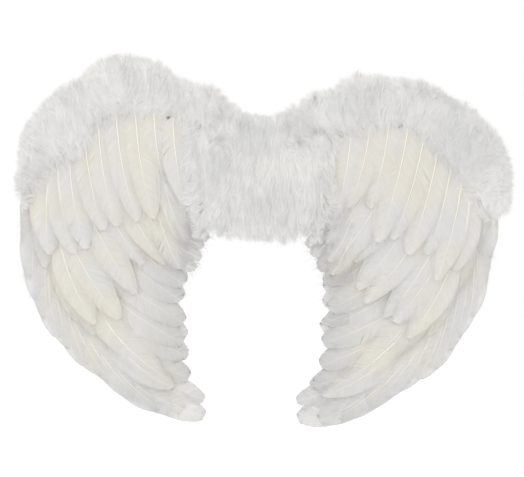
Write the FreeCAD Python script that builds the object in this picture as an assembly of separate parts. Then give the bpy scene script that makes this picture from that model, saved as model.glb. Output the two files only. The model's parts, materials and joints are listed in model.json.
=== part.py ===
import FreeCAD, Part
import math
import os

# A pair of feathered costume wings, in millimetres.
#
# Two die-cut card wings hang on cloth-tape hinges at the two sides of a small centre board.
# The centre board carries a felt pad and two elastic shoulder loops for the wearer, and every
# board is covered with rows of flat goose feathers, with white down along the top and outer
# edges and over the whole centre.
#
# X runs across the pair, Z is up, and +Y points at the wearer, so the feathers face -Y.
# The origin is the middle of the back pad's face. Each wing is drawn once, on the +X side,
# and the left one is its mirror image. Only the outline of the down differs between them.

# Layers, from the wearer's side to the feather side.
PAD_FACE_Y = 0.0
PAD_THICKNESS = 4.0
BOARD_BACK_Y = PAD_FACE_Y - PAD_THICKNESS
CENTRE_BOARD_THICKNESS = 2.5
WING_BOARD_THICKNESS = 2.0
TAPE_THICKNESS = 0.3
LINING_THICKNESS = 0.6
CENTRE_FRONT_Y = BOARD_BACK_Y - CENTRE_BOARD_THICKNESS
WING_FRONT_Y = BOARD_BACK_Y - WING_BOARD_THICKNESS

# Hinges between the centre board and the wings.
HINGE_X = 52.5
HINGE_GAP = 2.0
HINGE_BOTTOM_Z = -60.0
HINGE_TOP_Z = 80.0
TAPE_FOLD_GAP = 0.4
TAPE_INNER_X = 38.0
TAPE_OUTER_X = 64.5
TAPE_MARGIN_Z = 6.0

# Centre board and pad.
CENTRE_TOP_DIP_Z = 56.0
PAD_WIDTH = 40.0
PAD_TOP_Z = 50.0
PAD_BOTTOM_Z = -45.0
PAD_CORNER_R = 9.0

# Elastic shoulder loops and the rivets that hold their ends.
STRAP_X = 30.0
STRAP_WIDTH = 12.0
STRAP_THICKNESS = 1.2
RIVET_Z = (52.0, -46.0)
RIVET_SHANK_R = 1.6
RIVET_HOLE_R = 1.7
RIVET_HEAD_R = 4.0
RIVET_HEAD_THICKNESS = 1.0
WASHER_R = 5.0
WASHER_THICKNESS = 0.8

# Wire spar of each wing and the tape tabs over it.
WIRE_R = 1.25
TAB_LENGTH = 14.0
TAB_HALF_SPAN = 9.0
TAB_THICKNESS = 0.4

# Feathers: thin blades that are shingled, so each one is tilted along and across.
FEATHER_THICKNESS = 0.3
FEATHER_SLOPE_DEG = 3.4
FEATHER_ROLL_DEG = 3.0
FEATHER_PROFILE = ((0.0, 0.07), (0.14, 0.42), (0.34, 0.86), (0.6, 1.0), (0.82, 0.86), (0.95, 0.46))

# Down: how far it stands forward, and how far it reaches back round the edge of a board.
DOWN_FRONT_Y = -32.0
DOWN_ON_FEATHERS_Y = -21.0
ROOT_DOWN_BACK_Y = -16.0
DOWN_EDGE_BACK_Y = -3.0
CENTRE_DOWN_BACK_Y = -8.0
CENTRE_DOWN_FRONT_Y = -29.0
CENTRE_DOWN_HALF_WIDTH = 47.0
WING_DOWN_START_X = 58.0
DOWN_JOINT_GAP = 0.3
FEATHER_OVERHANG = 12.0

# Outline of a wing board: x, z and corner radius, anticlockwise from the foot of the hinge edge.
WING_BOARD_OUTLINE = (
    (HINGE_X + HINGE_GAP / 2, HINGE_BOTTOM_Z, 4),
    (80, -80, 22),
    (101, -125, 70),
    (104, -185, 90),
    (92, -272, 5),
    (178, -248, 80),
    (246, -172, 110),
    (281, -60, 150),
    (280, 40, 75),
    (232, 106, 70),
    (140, 118, 70),
    (88, 96, 50),
    (HINGE_X + HINGE_GAP / 2, HINGE_TOP_Z, 4),
)

# Outline of the back lining, which stays inside the wire.
LINING_OUTLINE = (
    (82, -66, 8),
    (108, -120, 60),
    (112, -185, 80),
    (104, -248, 5),
    (168, -230, 60),
    (224, -166, 90),
    (260, -60, 130),
    (258, 28, 60),
    (222, 86, 55),
    (142, 98, 60),
    (100, 80, 20),
    (84, 60, 12),
)

# Route of the wire along the leading edge, from the foot of the hinge side to near the tip.
WIRE_ROUTE = (
    (74, -56, 0),
    (74, 84, 16),
    (140, 109, 60),
    (228, 97, 60),
    (269, 36, 64),
    (271, -60, 120),
    (236, -168, 110),
    (172, -240, 70),
    (106, -258, 0),
)

# Route of an elastic loop in the Y-Z plane: y, z and bend radius. Both ends lie on the board.
STRAP_ROUTE = (
    (BOARD_BACK_Y + STRAP_THICKNESS / 2, 44, 0),
    (BOARD_BACK_Y + STRAP_THICKNESS / 2, 68, 9),
    (38, 70, 26),
    (80, 32, 34),
    (88, -14, 34),
    (74, -54, 26),
    (34, -72, 24),
    (BOARD_BACK_Y + STRAP_THICKNESS / 2, -66, 9),
    (BOARD_BACK_Y + STRAP_THICKNESS / 2, -38, 0),
)

# Rows of feathers on a wing, from the board outwards. Roots and tips follow a smooth line
# through the points given. The depth is how far in front of the board the roots lie.
FEATHER_ROWS = (
    {
        "name": "under_feathers", "count": 8, "width": 34, "bow": 4, "depth": 1.0,
        "roots": ((156, -28), (172, -70), (180, -118), (180, -168), (172, -216)),
        "tips": ((72, -104), (83, -140), (81, -180), (76, -222), (60, -264)),
    },
    {
        "name": "tertial_feathers", "count": 8, "width": 34, "bow": 5, "depth": 1.95,
        "roots": ((150, -6), (168, -46), (182, -92), (186, -140), (180, -190)),
        "tips": ((76, -90), (84, -128), (83, -166), (79, -208), (72, -240)),
    },
    {
        "name": "primary_feathers", "count": 14, "width": 34, "bow": 7, "depth": 3.9,
        "roots": ((246, 30), (246, -14), (243, -64), (232, -112), (214, -156), (190, -194), (158, -236)),
        "tips": ((268, -88), (262, -130), (242, -178), (207, -220), (158, -254), (108, -274), (60, -283)),
    },
    {
        "name": "secondary_feathers", "count": 11, "width": 36, "bow": 6, "depth": 5.6,
        "roots": ((246, 46), (242, 4), (232, -48), (214, -96), (195, -142), (176, -190)),
        "tips": ((254, -86), (236, -134), (204, -176), (164, -206), (122, -230), (84, -256)),
    },
    {
        "name": "median_covert_feathers", "count": 8, "width": 36, "bow": 6, "depth": 10.0,
        "roots": ((146, 34), (184, 14), (216, -14), (232, -48), (236, -74)),
        "tips": ((88, -74), (102, -106), (128, -132), (156, -166), (182, -190)),
    },
    {
        "name": "greater_covert_feathers", "count": 9, "width": 36, "bow": 5, "depth": 11.4,
        "roots": ((106, 80), (138, 87), (168, 88), (196, 74), (220, 50), (238, 28), (247, 2)),
        "tips": ((86, -34), (106, -42), (133, -52), (160, -72), (186, -88), (211, -100), (236, -114)),
    },
    {
        "name": "inner_covert_feathers", "count": 6, "width": 28, "bow": 3, "depth": 10.6,
        "roots": ((98, 46), (108, 16), (116, -12), (120, -40)),
        "tips": ((84, -26), (82, -56), (84, -86), (90, -114)),
    },
)

# Outlines of the down along the edge of each wing: x, z and corner radius.
DOWN_OUTLINES = {
    "left": {
        "crest_down": (
            (58, 60, 2), (84, 62, 20), (104, 74, 20), (150, 73, 2),
            (150, 138, 2), (126, 134, 20), (106, 119, 30), (86, 111, 20), (58, 106, 2),
        ),
        "shoulder_down": (
            (150, 73, 2), (182, 65, 20), (202, 48, 12), (212, 24, 12), (233, 15, 2),
            (261, 79, 2), (240, 99, 24), (216, 110, 16), (200, 132, 20), (170, 140, 40), (150, 138, 2),
        ),
        "outer_down": (
            (233, 15, 2), (252, 0, 20), (266, -16, 20), (276, -46, 4),
            (288, -40, 6), (290, 0, 60), (284, 44, 40), (261, 79, 2),
        ),
    },
    "right": {
        "crest_down": (
            (58, 60, 2), (100, 56, 30), (128, 67, 20), (150, 73, 2),
            (150, 126, 2), (122, 128, 30), (98, 129, 10), (86, 111, 12), (58, 106, 2),
        ),
        "shoulder_down": (
            (150, 73, 2), (168, 74, 20), (188, 60, 20), (206, 44, 20), (233, 18, 2),
            (261, 80, 2), (248, 96, 20), (218, 105, 16), (206, 119, 10), (178, 125, 60), (150, 126, 2),
        ),
        "outer_down": (
            (233, 18, 2), (247, 8, 20), (258, -14, 20), (276, -38, 6),
            (294, -38, 8), (304, -10, 40), (298, 34, 50), (282, 66, 20), (261, 80, 2),
        ),
    },
}
ROOT_DOWN_OUTLINE = (
    (58, -66, 4), (70, -66, 8), (74, -30, 30), (77, 20, 30), (77, 55, 4), (58, 55, 2),
)
CENTRE_DOWN_TOP = ((47, 97, 4), (30, 82, 20), (0, 68, 60), (-30, 82, 20), (-47, 97, 4))
CENTRE_DOWN_SPLIT_Z = (42.0, -22.0)
CENTRE_DOWN_BOTTOM_Z = -76.0

SHARPEST_RADIUS = 0.01


def unit(x, z):
    length = math.hypot(x, z)
    return x / length, z / length


def rounded_edges(corners, place, closed):
    """Straight runs joined by tangent arcs. place(a, b) turns a corner's two numbers into a point."""
    count = len(corners)
    starts = []
    ends = []
    middles = []
    for i, (a, b, radius) in enumerate(corners):
        is_end = not closed and i in (0, count - 1)
        if is_end or radius < SHARPEST_RADIUS:
            starts.append((a, b))
            middles.append(None)
            ends.append((a, b))
            continue
        before = corners[i - 1]
        after = corners[(i + 1) % count]
        ua, ub = unit(before[0] - a, before[1] - b)
        va, vb = unit(after[0] - a, after[1] - b)
        half = math.acos(max(-1.0, min(1.0, ua * va + ub * vb))) / 2
        reach = radius / math.tan(half)
        ba, bb = unit(ua + va, ub + vb)
        to_arc = radius / math.sin(half) - radius
        starts.append((a + ua * reach, b + ub * reach))
        middles.append((a + ba * to_arc, b + bb * to_arc))
        ends.append((a + va * reach, b + vb * reach))
    edges = []
    for i in range(count):
        if middles[i]:
            edges.append(Part.Arc(place(*starts[i]), place(*middles[i]), place(*ends[i])).toShape())
        if i < count - 1 or closed:
            begin = place(*ends[i])
            finish = place(*starts[(i + 1) % count])
            if begin.distanceToPoint(finish) > SHARPEST_RADIUS:
                edges.append(Part.LineSegment(begin, finish).toShape())
    return edges


def plate(corners, back_y, front_y):
    """A flat plate with a rounded outline in the X-Z plane, between two depths."""
    edges = rounded_edges(corners, lambda x, z: FreeCAD.Vector(x, front_y, z), closed=True)
    face = Part.Face(Part.Wire(Part.__sortEdges__(edges)))
    return face.extrude(FreeCAD.Vector(0, back_y - front_y, 0))


def slab(x_low, x_high, y_low, y_high, z_low, z_high):
    corner = FreeCAD.Vector(x_low, y_low, z_low)
    return Part.makeBox(x_high - x_low, y_high - y_low, z_high - z_low, corner)


def cylinder_y(x, z, radius, y_low, y_high):
    base = FreeCAD.Vector(x, y_low, z)
    return Part.makeCylinder(radius, y_high - y_low, base, FreeCAD.Vector(0, 1, 0))


def mirrored(shape):
    return shape.mirror(FreeCAD.Vector(0, 0, 0), FreeCAD.Vector(1, 0, 0))


def for_side(shape, side):
    return mirrored(shape) if side == "left" else shape


def save(shape, node):
    if not shape.isValid():
        raise ValueError("invalid shape: " + node)
    shape.exportStep(os.path.join("parts", node + ".step"))


def smooth_line(points):
    """A curve through X-Z points, as a function of the fraction of its length."""
    curve = Part.BSplineCurve()
    curve.interpolate([FreeCAD.Vector(x, 0, z) for x, z in points])
    total = curve.length()

    def at(fraction):
        return curve.value(curve.parameterAtDistance(total * fraction, curve.FirstParameter))

    return at


def feather(root, tip, width, bow, root_y):
    """One blade: a flat, bowed outline that leans forward to its tip and rolls to its outer edge."""
    forward = FreeCAD.Vector(0, -1, 0)
    chord = tip - root
    length = chord.Length
    run = chord.normalize()
    side = FreeCAD.Vector(-run.z, 0, run.x)
    slope = math.radians(FEATHER_SLOPE_DEG)
    roll = math.radians(FEATHER_ROLL_DEG)
    along = run * math.cos(slope) + forward * math.sin(slope)
    leaning = side * math.cos(roll) + forward * math.sin(roll)
    normal = along.cross(leaning).normalize()
    across = normal.cross(along)
    base = FreeCAD.Vector(root.x, root_y, root.z)

    def spot(station, half_width):
        bulge = 4 * bow * station * (1 - station)
        return base + along * (length * station) + across * (bulge + half_width)

    outer = [spot(s, share * width / 2) for s, share in FEATHER_PROFILE]
    inner = [spot(s, -share * width / 2) for s, share in reversed(FEATHER_PROFILE)]
    outline = outer + [spot(1.0, 0.0)] + inner
    face = Part.Face(Part.makePolygon(outline + outline[:1]))
    return face.extrude(normal * FEATHER_THICKNESS)


def feather_row(row, root_y):
    root_at = smooth_line(row["roots"])
    tip_at = smooth_line(row["tips"])
    blades = []
    for i in range(row["count"]):
        share = i / (row["count"] - 1)
        blades.append(feather(root_at(share), tip_at(share), row["width"], row["bow"], root_y))
    return Part.Compound(blades)


def centre_board():
    half = HINGE_X - HINGE_GAP / 2
    outline = (
        (-half, HINGE_BOTTOM_Z, 6), (half, HINGE_BOTTOM_Z, 6), (half, HINGE_TOP_Z, 4),
        (0, CENTRE_TOP_DIP_Z, 70), (-half, HINGE_TOP_Z, 4),
    )
    board = plate(outline, BOARD_BACK_Y, CENTRE_FRONT_Y)
    holes = [
        cylinder_y(x, z, RIVET_HOLE_R, CENTRE_FRONT_Y - 1, BOARD_BACK_Y + 1)
        for x in (-STRAP_X, STRAP_X)
        for z in RIVET_Z
    ]
    return board.cut(holes)


def back_pad():
    half = PAD_WIDTH / 2
    outline = (
        (-half, PAD_BOTTOM_Z, PAD_CORNER_R), (half, PAD_BOTTOM_Z, PAD_CORNER_R),
        (half, PAD_TOP_Z, PAD_CORNER_R), (-half, PAD_TOP_Z, PAD_CORNER_R),
    )
    return plate(outline, PAD_FACE_Y, BOARD_BACK_Y)


def shoulder_loop():
    """A flat elastic band whose two ends lie on the centre board, with a rivet hole in each."""
    x_low = STRAP_X - STRAP_WIDTH / 2
    spine = Part.Wire(rounded_edges(STRAP_ROUTE, lambda y, z: FreeCAD.Vector(x_low, y, z), closed=False))
    y, z, _ = STRAP_ROUTE[0]
    half = STRAP_THICKNESS / 2
    section = Part.makePolygon([
        FreeCAD.Vector(x_low, y - half, z),
        FreeCAD.Vector(x_low + STRAP_WIDTH, y - half, z),
        FreeCAD.Vector(x_low + STRAP_WIDTH, y + half, z),
        FreeCAD.Vector(x_low, y + half, z),
        FreeCAD.Vector(x_low, y - half, z),
    ])
    band = spine.makePipeShell([section], True, False)
    holes = [
        cylinder_y(STRAP_X, z, RIVET_HOLE_R, BOARD_BACK_Y - 1, BOARD_BACK_Y + STRAP_THICKNESS + 1)
        for z in RIVET_Z
    ]
    return band.cut(holes)


def strap_rivets():
    """Tubular rivets: a head over the washer, a shank, and a flange rolled out on the feather side."""
    washer_top_y = BOARD_BACK_Y + STRAP_THICKNESS + WASHER_THICKNESS
    rivets = []
    for x in (-STRAP_X, STRAP_X):
        for z in RIVET_Z:
            head = cylinder_y(x, z, RIVET_HEAD_R, washer_top_y, washer_top_y + RIVET_HEAD_THICKNESS)
            head_rim = [e for e in head.Edges if e.CenterOfMass.y > washer_top_y + RIVET_HEAD_THICKNESS / 2]
            head = head.makeFillet(RIVET_HEAD_THICKNESS * 0.6, [e for e in head_rim if e.Closed])
            shank = cylinder_y(x, z, RIVET_SHANK_R, CENTRE_FRONT_Y, washer_top_y)
            flange = cylinder_y(x, z, RIVET_HEAD_R * 0.8, CENTRE_FRONT_Y - RIVET_HEAD_THICKNESS, CENTRE_FRONT_Y)
            rivets.append(head.fuse([shank, flange]).removeSplitter())
    return Part.Compound(rivets)


def strap_washers():
    low = BOARD_BACK_Y + STRAP_THICKNESS
    washers = []
    for x in (-STRAP_X, STRAP_X):
        for z in RIVET_Z:
            disc = cylinder_y(x, z, WASHER_R, low, low + WASHER_THICKNESS)
            washers.append(disc.cut(cylinder_y(x, z, RIVET_HOLE_R, low - 1, low + WASHER_THICKNESS + 1)))
    return Part.Compound(washers)


def hinge_tape(x_low, x_high):
    z_low = HINGE_BOTTOM_Z + TAPE_MARGIN_Z
    z_high = HINGE_TOP_Z - TAPE_MARGIN_Z
    return slab(x_low, x_high, BOARD_BACK_Y, BOARD_BACK_Y + TAPE_THICKNESS, z_low, z_high)


def wire_spine():
    centre_y = BOARD_BACK_Y + WIRE_R
    return Part.Wire(rounded_edges(WIRE_ROUTE, lambda x, z: FreeCAD.Vector(x, centre_y, z), closed=False))


def frame_wire():
    spine = wire_spine()
    start = spine.Edges[0]
    circle = Part.Wire(Part.makeCircle(WIRE_R, start.valueAt(start.FirstParameter), start.tangentAt(0)))
    return spine.makePipeShell([circle], True, False)


def wire_tab(point, direction):
    """A strip of cloth tape pressed down over the wire, square to it."""
    clear = 0.15
    inner_half = WIRE_R + 0.75
    top = 2 * WIRE_R + clear
    profile = (
        (-TAB_HALF_SPAN, 0), (-inner_half, 0), (-WIRE_R - clear, top), (WIRE_R + clear, top), (inner_half, 0),
        (TAB_HALF_SPAN, 0), (TAB_HALF_SPAN, TAB_THICKNESS), (inner_half + TAB_THICKNESS, TAB_THICKNESS),
        (WIRE_R + clear + TAB_THICKNESS / 2, top + TAB_THICKNESS),
        (-WIRE_R - clear - TAB_THICKNESS / 2, top + TAB_THICKNESS),
        (-inner_half - TAB_THICKNESS, TAB_THICKNESS), (-TAB_HALF_SPAN, TAB_THICKNESS),
    )
    across = FreeCAD.Vector(-direction.z, 0, direction.x)
    start = FreeCAD.Vector(point.x, BOARD_BACK_Y, point.z) - direction * (TAB_LENGTH / 2)
    points = [start + across * a + FreeCAD.Vector(0, h, 0) for a, h in profile]
    face = Part.Face(Part.makePolygon(points + points[:1]))
    return face.extrude(direction * TAB_LENGTH)


def wire_tabs():
    """One tab in the middle of each straight run of the wire."""
    runs = [e for e in wire_spine().Edges if isinstance(e.Curve, (Part.Line, Part.LineSegment))]
    tabs = []
    for run in runs:
        if run.Length > TAB_LENGTH:
            middle = run.valueAt((run.FirstParameter + run.LastParameter) / 2)
            tabs.append(wire_tab(middle, run.tangentAt(run.FirstParameter)))
    return Part.Compound(tabs)


def covered_zone(outline, zone_front_y):
    """The space that a board and its overhanging feathers take, for cutting out of the down."""
    flat = plate(outline, BOARD_BACK_Y, BOARD_BACK_Y - 1)
    face = [f for f in flat.Faces if abs(f.CenterOfMass.y - (BOARD_BACK_Y - 1)) < 0.1][0]
    grown = face.OuterWire.makeOffset2D(FEATHER_OVERHANG)
    grown.translate(FreeCAD.Vector(0, zone_front_y - (BOARD_BACK_Y - 1), 0))
    return Part.Face(grown).extrude(FreeCAD.Vector(0, 1 - zone_front_y, 0))


def edge_down(outline, zone):
    """Down that lies on the feathers and rolls back round the edge of the board."""
    body = plate(outline, DOWN_EDGE_BACK_Y, DOWN_FRONT_Y).cut(zone)
    trimmed = body.cut(slab(0, WING_DOWN_START_X, DOWN_FRONT_Y - 1, 10, -400, 400))
    return max(trimmed.Solids, key=lambda solid: solid.Volume)


def centre_down():
    """Three rows of down over the centre board, the top one following the dip between the wings."""
    half = CENTRE_DOWN_HALF_WIDTH
    upper_z, lower_z = CENTRE_DOWN_SPLIT_Z
    gap = DOWN_JOINT_GAP
    upper = ((-half, upper_z + gap, 2), (half, upper_z + gap, 2)) + CENTRE_DOWN_TOP
    middle = ((-half, lower_z + gap, 2), (half, lower_z + gap, 2), (half, upper_z, 2), (-half, upper_z, 2))
    lower = (
        (-half, CENTRE_DOWN_BOTTOM_Z, 10), (half, CENTRE_DOWN_BOTTOM_Z, 10), (half, lower_z, 2), (-half, lower_z, 2),
    )
    rows = {"centre_upper_down": upper, "centre_middle_down": middle, "centre_lower_down": lower}
    return {name: plate(outline, CENTRE_DOWN_BACK_Y, CENTRE_DOWN_FRONT_Y) for name, outline in rows.items()}


def build_centre():
    save(centre_board(), "centre_board")
    save(back_pad(), "back_pad")
    save(strap_rivets(), "strap_rivets")
    save(strap_washers(), "strap_washers")
    for name, shape in centre_down().items():
        save(shape, name)
    loop = shoulder_loop()
    leaf = hinge_tape(TAPE_INNER_X, HINGE_X - TAPE_FOLD_GAP / 2)
    for side in ("left", "right"):
        save(for_side(loop, side), side + "_shoulder_loop")
        save(for_side(leaf, side), side + "_hinge_tape_inner")


def build_wing(side):
    board = plate(WING_BOARD_OUTLINE, BOARD_BACK_Y, WING_FRONT_Y)
    lining = plate(LINING_OUTLINE, BOARD_BACK_Y + LINING_THICKNESS, BOARD_BACK_Y)
    pieces = {
        "wing_board": board,
        "back_lining": lining,
        "frame_wire": frame_wire(),
        "wire_tabs": wire_tabs(),
        "hinge_tape_outer": hinge_tape(HINGE_X + TAPE_FOLD_GAP / 2, TAPE_OUTER_X),
        "root_down": plate(ROOT_DOWN_OUTLINE, ROOT_DOWN_BACK_Y, DOWN_FRONT_Y + 4),
    }
    for row in FEATHER_ROWS:
        pieces[row["name"]] = feather_row(row, WING_FRONT_Y - row["depth"])
    zone = covered_zone(WING_BOARD_OUTLINE, DOWN_ON_FEATHERS_Y)
    for name, outline in DOWN_OUTLINES[side].items():
        pieces[name] = edge_down(outline, zone)
    for name, shape in pieces.items():
        save(for_side(shape, side), side + "_" + name)


os.makedirs("parts", exist_ok=True)
build_centre()
build_wing("left")
build_wing("right")
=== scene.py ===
import json
import math
from collections import namedtuple

import bmesh
import bpy
import numpy as np
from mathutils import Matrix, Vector


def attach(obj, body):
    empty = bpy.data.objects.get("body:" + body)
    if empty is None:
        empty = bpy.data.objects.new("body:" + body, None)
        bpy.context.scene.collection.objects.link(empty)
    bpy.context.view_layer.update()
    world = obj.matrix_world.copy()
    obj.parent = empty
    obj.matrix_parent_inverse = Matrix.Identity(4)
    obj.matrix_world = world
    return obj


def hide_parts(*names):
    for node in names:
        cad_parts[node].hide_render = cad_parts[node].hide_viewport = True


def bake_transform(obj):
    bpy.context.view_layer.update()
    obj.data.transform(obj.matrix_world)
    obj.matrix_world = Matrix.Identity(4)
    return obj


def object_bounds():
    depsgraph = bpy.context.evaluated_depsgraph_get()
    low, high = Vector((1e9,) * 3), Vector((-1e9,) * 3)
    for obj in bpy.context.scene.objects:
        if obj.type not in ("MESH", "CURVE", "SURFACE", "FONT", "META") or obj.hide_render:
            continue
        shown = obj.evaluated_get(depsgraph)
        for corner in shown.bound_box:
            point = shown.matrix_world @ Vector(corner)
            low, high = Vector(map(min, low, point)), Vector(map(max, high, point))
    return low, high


# Feathered costume wings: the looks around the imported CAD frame. Lengths are in metres.
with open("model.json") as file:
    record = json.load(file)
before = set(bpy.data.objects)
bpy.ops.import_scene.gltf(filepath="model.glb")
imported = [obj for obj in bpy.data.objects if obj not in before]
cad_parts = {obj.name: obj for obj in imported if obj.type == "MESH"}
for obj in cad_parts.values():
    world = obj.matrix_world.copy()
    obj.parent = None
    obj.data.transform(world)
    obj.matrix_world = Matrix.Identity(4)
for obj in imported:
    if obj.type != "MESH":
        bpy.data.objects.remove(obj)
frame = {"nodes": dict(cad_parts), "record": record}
CAD_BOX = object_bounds()
NODES = frame["nodes"]
MM = 0.001
SIDES = {"left": -1.0, "right": 1.0}
FRONT = np.array((0.0, -1.0, 0.0))

# The camera looks along +Y through a long lens, and is rolled a little, because the pair hangs
# a little askew in the picture.
VIEW_WIDTH = 623.6 * MM
VIEW_CENTRE = (6.0 * MM, -72.6 * MM)
VIEW_DISTANCE = 2.5
VIEW_ROLL_DEG = 2.5
SENSOR_WIDTH_MM = 36.0

FLOOR_DROP = 62 * MM
FLOOR_RADIUS = 6.0
LIGHT_TARGET = (0, 0, -0.05)


# ---------------------------------------------------------------- meshes

MERGE_DISTANCE = 0.001 * MM


class Sheaf:
    """Collects grids of points, with a coordinate and a tint each, and makes one mesh of them."""

    def __init__(self):
        self.points = []
        self.coordinates = []
        self.tints = []
        self.greys = []
        self.quads = []
        self.total = 0

    def add(self, points, coordinates, tints, greys=0.0, closed=False):
        """points is (n, rows, columns, 3), coordinates (n, rows, columns, 2), tints (n,), greys per point."""
        n, rows, columns = points.shape[:3]
        index = np.arange(n * rows * columns).reshape(n, rows, columns) + self.total
        after = np.roll(index, -1, axis=2)
        last = columns if closed else columns - 1
        quads = np.stack(
            (index[:, :-1, :last], after[:, :-1, :last], after[:, 1:, :last], index[:, 1:, :last]), axis=-1
        )
        self.quads.append(quads.reshape(-1, 4))
        self.points.append(points.reshape(-1, 3))
        self.coordinates.append(coordinates.reshape(-1, 2))
        self.tints.append(np.repeat(tints, rows * columns))
        self.greys.append(np.broadcast_to(greys, (n, rows, columns)).ravel())
        self.total += n * rows * columns

    def mesh(self, name):
        points = np.concatenate(self.points)
        quads = np.concatenate(self.quads)
        coordinates = np.concatenate(self.coordinates)
        mesh = bpy.data.meshes.new(name)
        mesh.vertices.add(len(points))
        mesh.vertices.foreach_set("co", points.ravel().astype(np.float32))
        mesh.loops.add(quads.size)
        mesh.loops.foreach_set("vertex_index", quads.ravel().astype(np.int32))
        mesh.polygons.add(len(quads))
        mesh.polygons.foreach_set("loop_start", np.arange(0, quads.size, 4, dtype=np.int32))
        mesh.update(calc_edges=True)
        layer = mesh.uv_layers.new(name="along_across")
        layer.data.foreach_set("uv", coordinates[quads.ravel()].ravel().astype(np.float32))
        for name, values in (("tint", self.tints), ("grey", self.greys)):
            attribute = mesh.attributes.new(name, "FLOAT", "POINT")
            attribute.data.foreach_set("value", np.concatenate(values).astype(np.float32))
        mesh.polygons.foreach_set("use_smooth", np.ones(len(quads), bool))
        mesh.validate()
        return mesh


def piece(name, mesh, body, look, replaces=()):
    """An object of a mesh or a sheaf, on a body unless that is None, and with the look of that name."""
    made = bpy.data.objects.new(name, mesh.mesh(name) if isinstance(mesh, Sheaf) else mesh)
    bpy.context.scene.collection.objects.link(made)
    made.data.materials.append(MATERIALS[look])
    if body:
        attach(made, body)
    if replaces:
        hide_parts(*replaces)
    return made


def limited(values):
    return np.clip(values, 0, 1)


def unit(vectors):
    length = np.linalg.norm(vectors, axis=-1, keepdims=True)
    return vectors / np.maximum(length, 1e-12)


def node_points(node):
    mesh = NODES[node].data
    points = np.zeros(len(mesh.vertices) * 3)
    mesh.vertices.foreach_get("co", points)
    return points.reshape(-1, 3)


def corners_of(outline):
    """The lowest and the highest X and Z of an outline."""
    flat = outline.reshape(-1, 2)
    return flat.min(0), flat.max(0)


def solids_of(node):
    """The distinct corner points of each separate solid in a CAD node."""
    mesh = NODES[node].data
    points = node_points(node)
    keys = {}
    cells = np.round(points / MERGE_DISTANCE).astype(int)
    merged = [keys.setdefault(tuple(cell), i) for i, cell in enumerate(cells)]
    parent = list(range(len(points)))

    def top(i):
        while parent[i] != i:
            parent[i] = parent[parent[i]]
            i = parent[i]
        return i

    for polygon in mesh.polygons:
        corners = [merged[v] for v in polygon.vertices]
        for corner in corners[1:]:
            parent[top(corner)] = top(corners[0])
    groups = {}
    for i in set(merged):
        groups.setdefault(top(i), []).append(i)
    return [points[sorted(groups[first])] for first in sorted(groups)]


def front_outline(node):
    """The segments round the front face of a flat CAD plate, as (n, 2, 2) in X and Z."""
    mesh = NODES[node].data
    points = node_points(node)
    low = points[:, 1].min()
    seen = {}
    for polygon in mesh.polygons:
        if polygon.normal.y > -0.9 or abs(points[polygon.vertices[0], 1] - low) > 0.02 * MM:
            continue
        corners = [tuple(np.round(points[v, ::2], 7)) for v in polygon.vertices]
        for a, b in zip(corners, corners[1:] + corners[:1]):
            key = (min(a, b), max(a, b))
            seen[key] = seen.get(key, 0) + 1
    return np.array([key for key, uses in seen.items() if uses == 1])


def nearest_on(segments, spots):
    """For each X-Z spot: the nearest point on the segments, and whether the spot is inside them."""
    a = segments[None, :, 0]
    b = segments[None, :, 1]
    p = spots[:, None]
    run = b - a
    share = limited(((p - a) * run).sum(-1) / np.maximum((run * run).sum(-1), 1e-18))
    feet = a + run * share[..., None]
    distance = np.linalg.norm(p - feet, axis=-1)
    best = distance.argmin(1)
    crosses = (a[..., 1] > p[..., 1]) != (b[..., 1] > p[..., 1])
    rise = np.where(np.abs(run[..., 1]) > 1e-12, run[..., 1], 1e-12)
    at_x = a[..., 0] + (p[..., 1] - a[..., 1]) / rise * run[..., 0]
    inside = (crosses & (p[..., 0] < at_x)).sum(1) % 2 == 1
    return feet[np.arange(len(spots)), best], inside


# ---------------------------------------------------------------- materials

WHITE = (1.0, 1.0, 1.0)

# The length of one band of a wave texture whose scale is 1.
WAVE_PERIOD = 0.314


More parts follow.
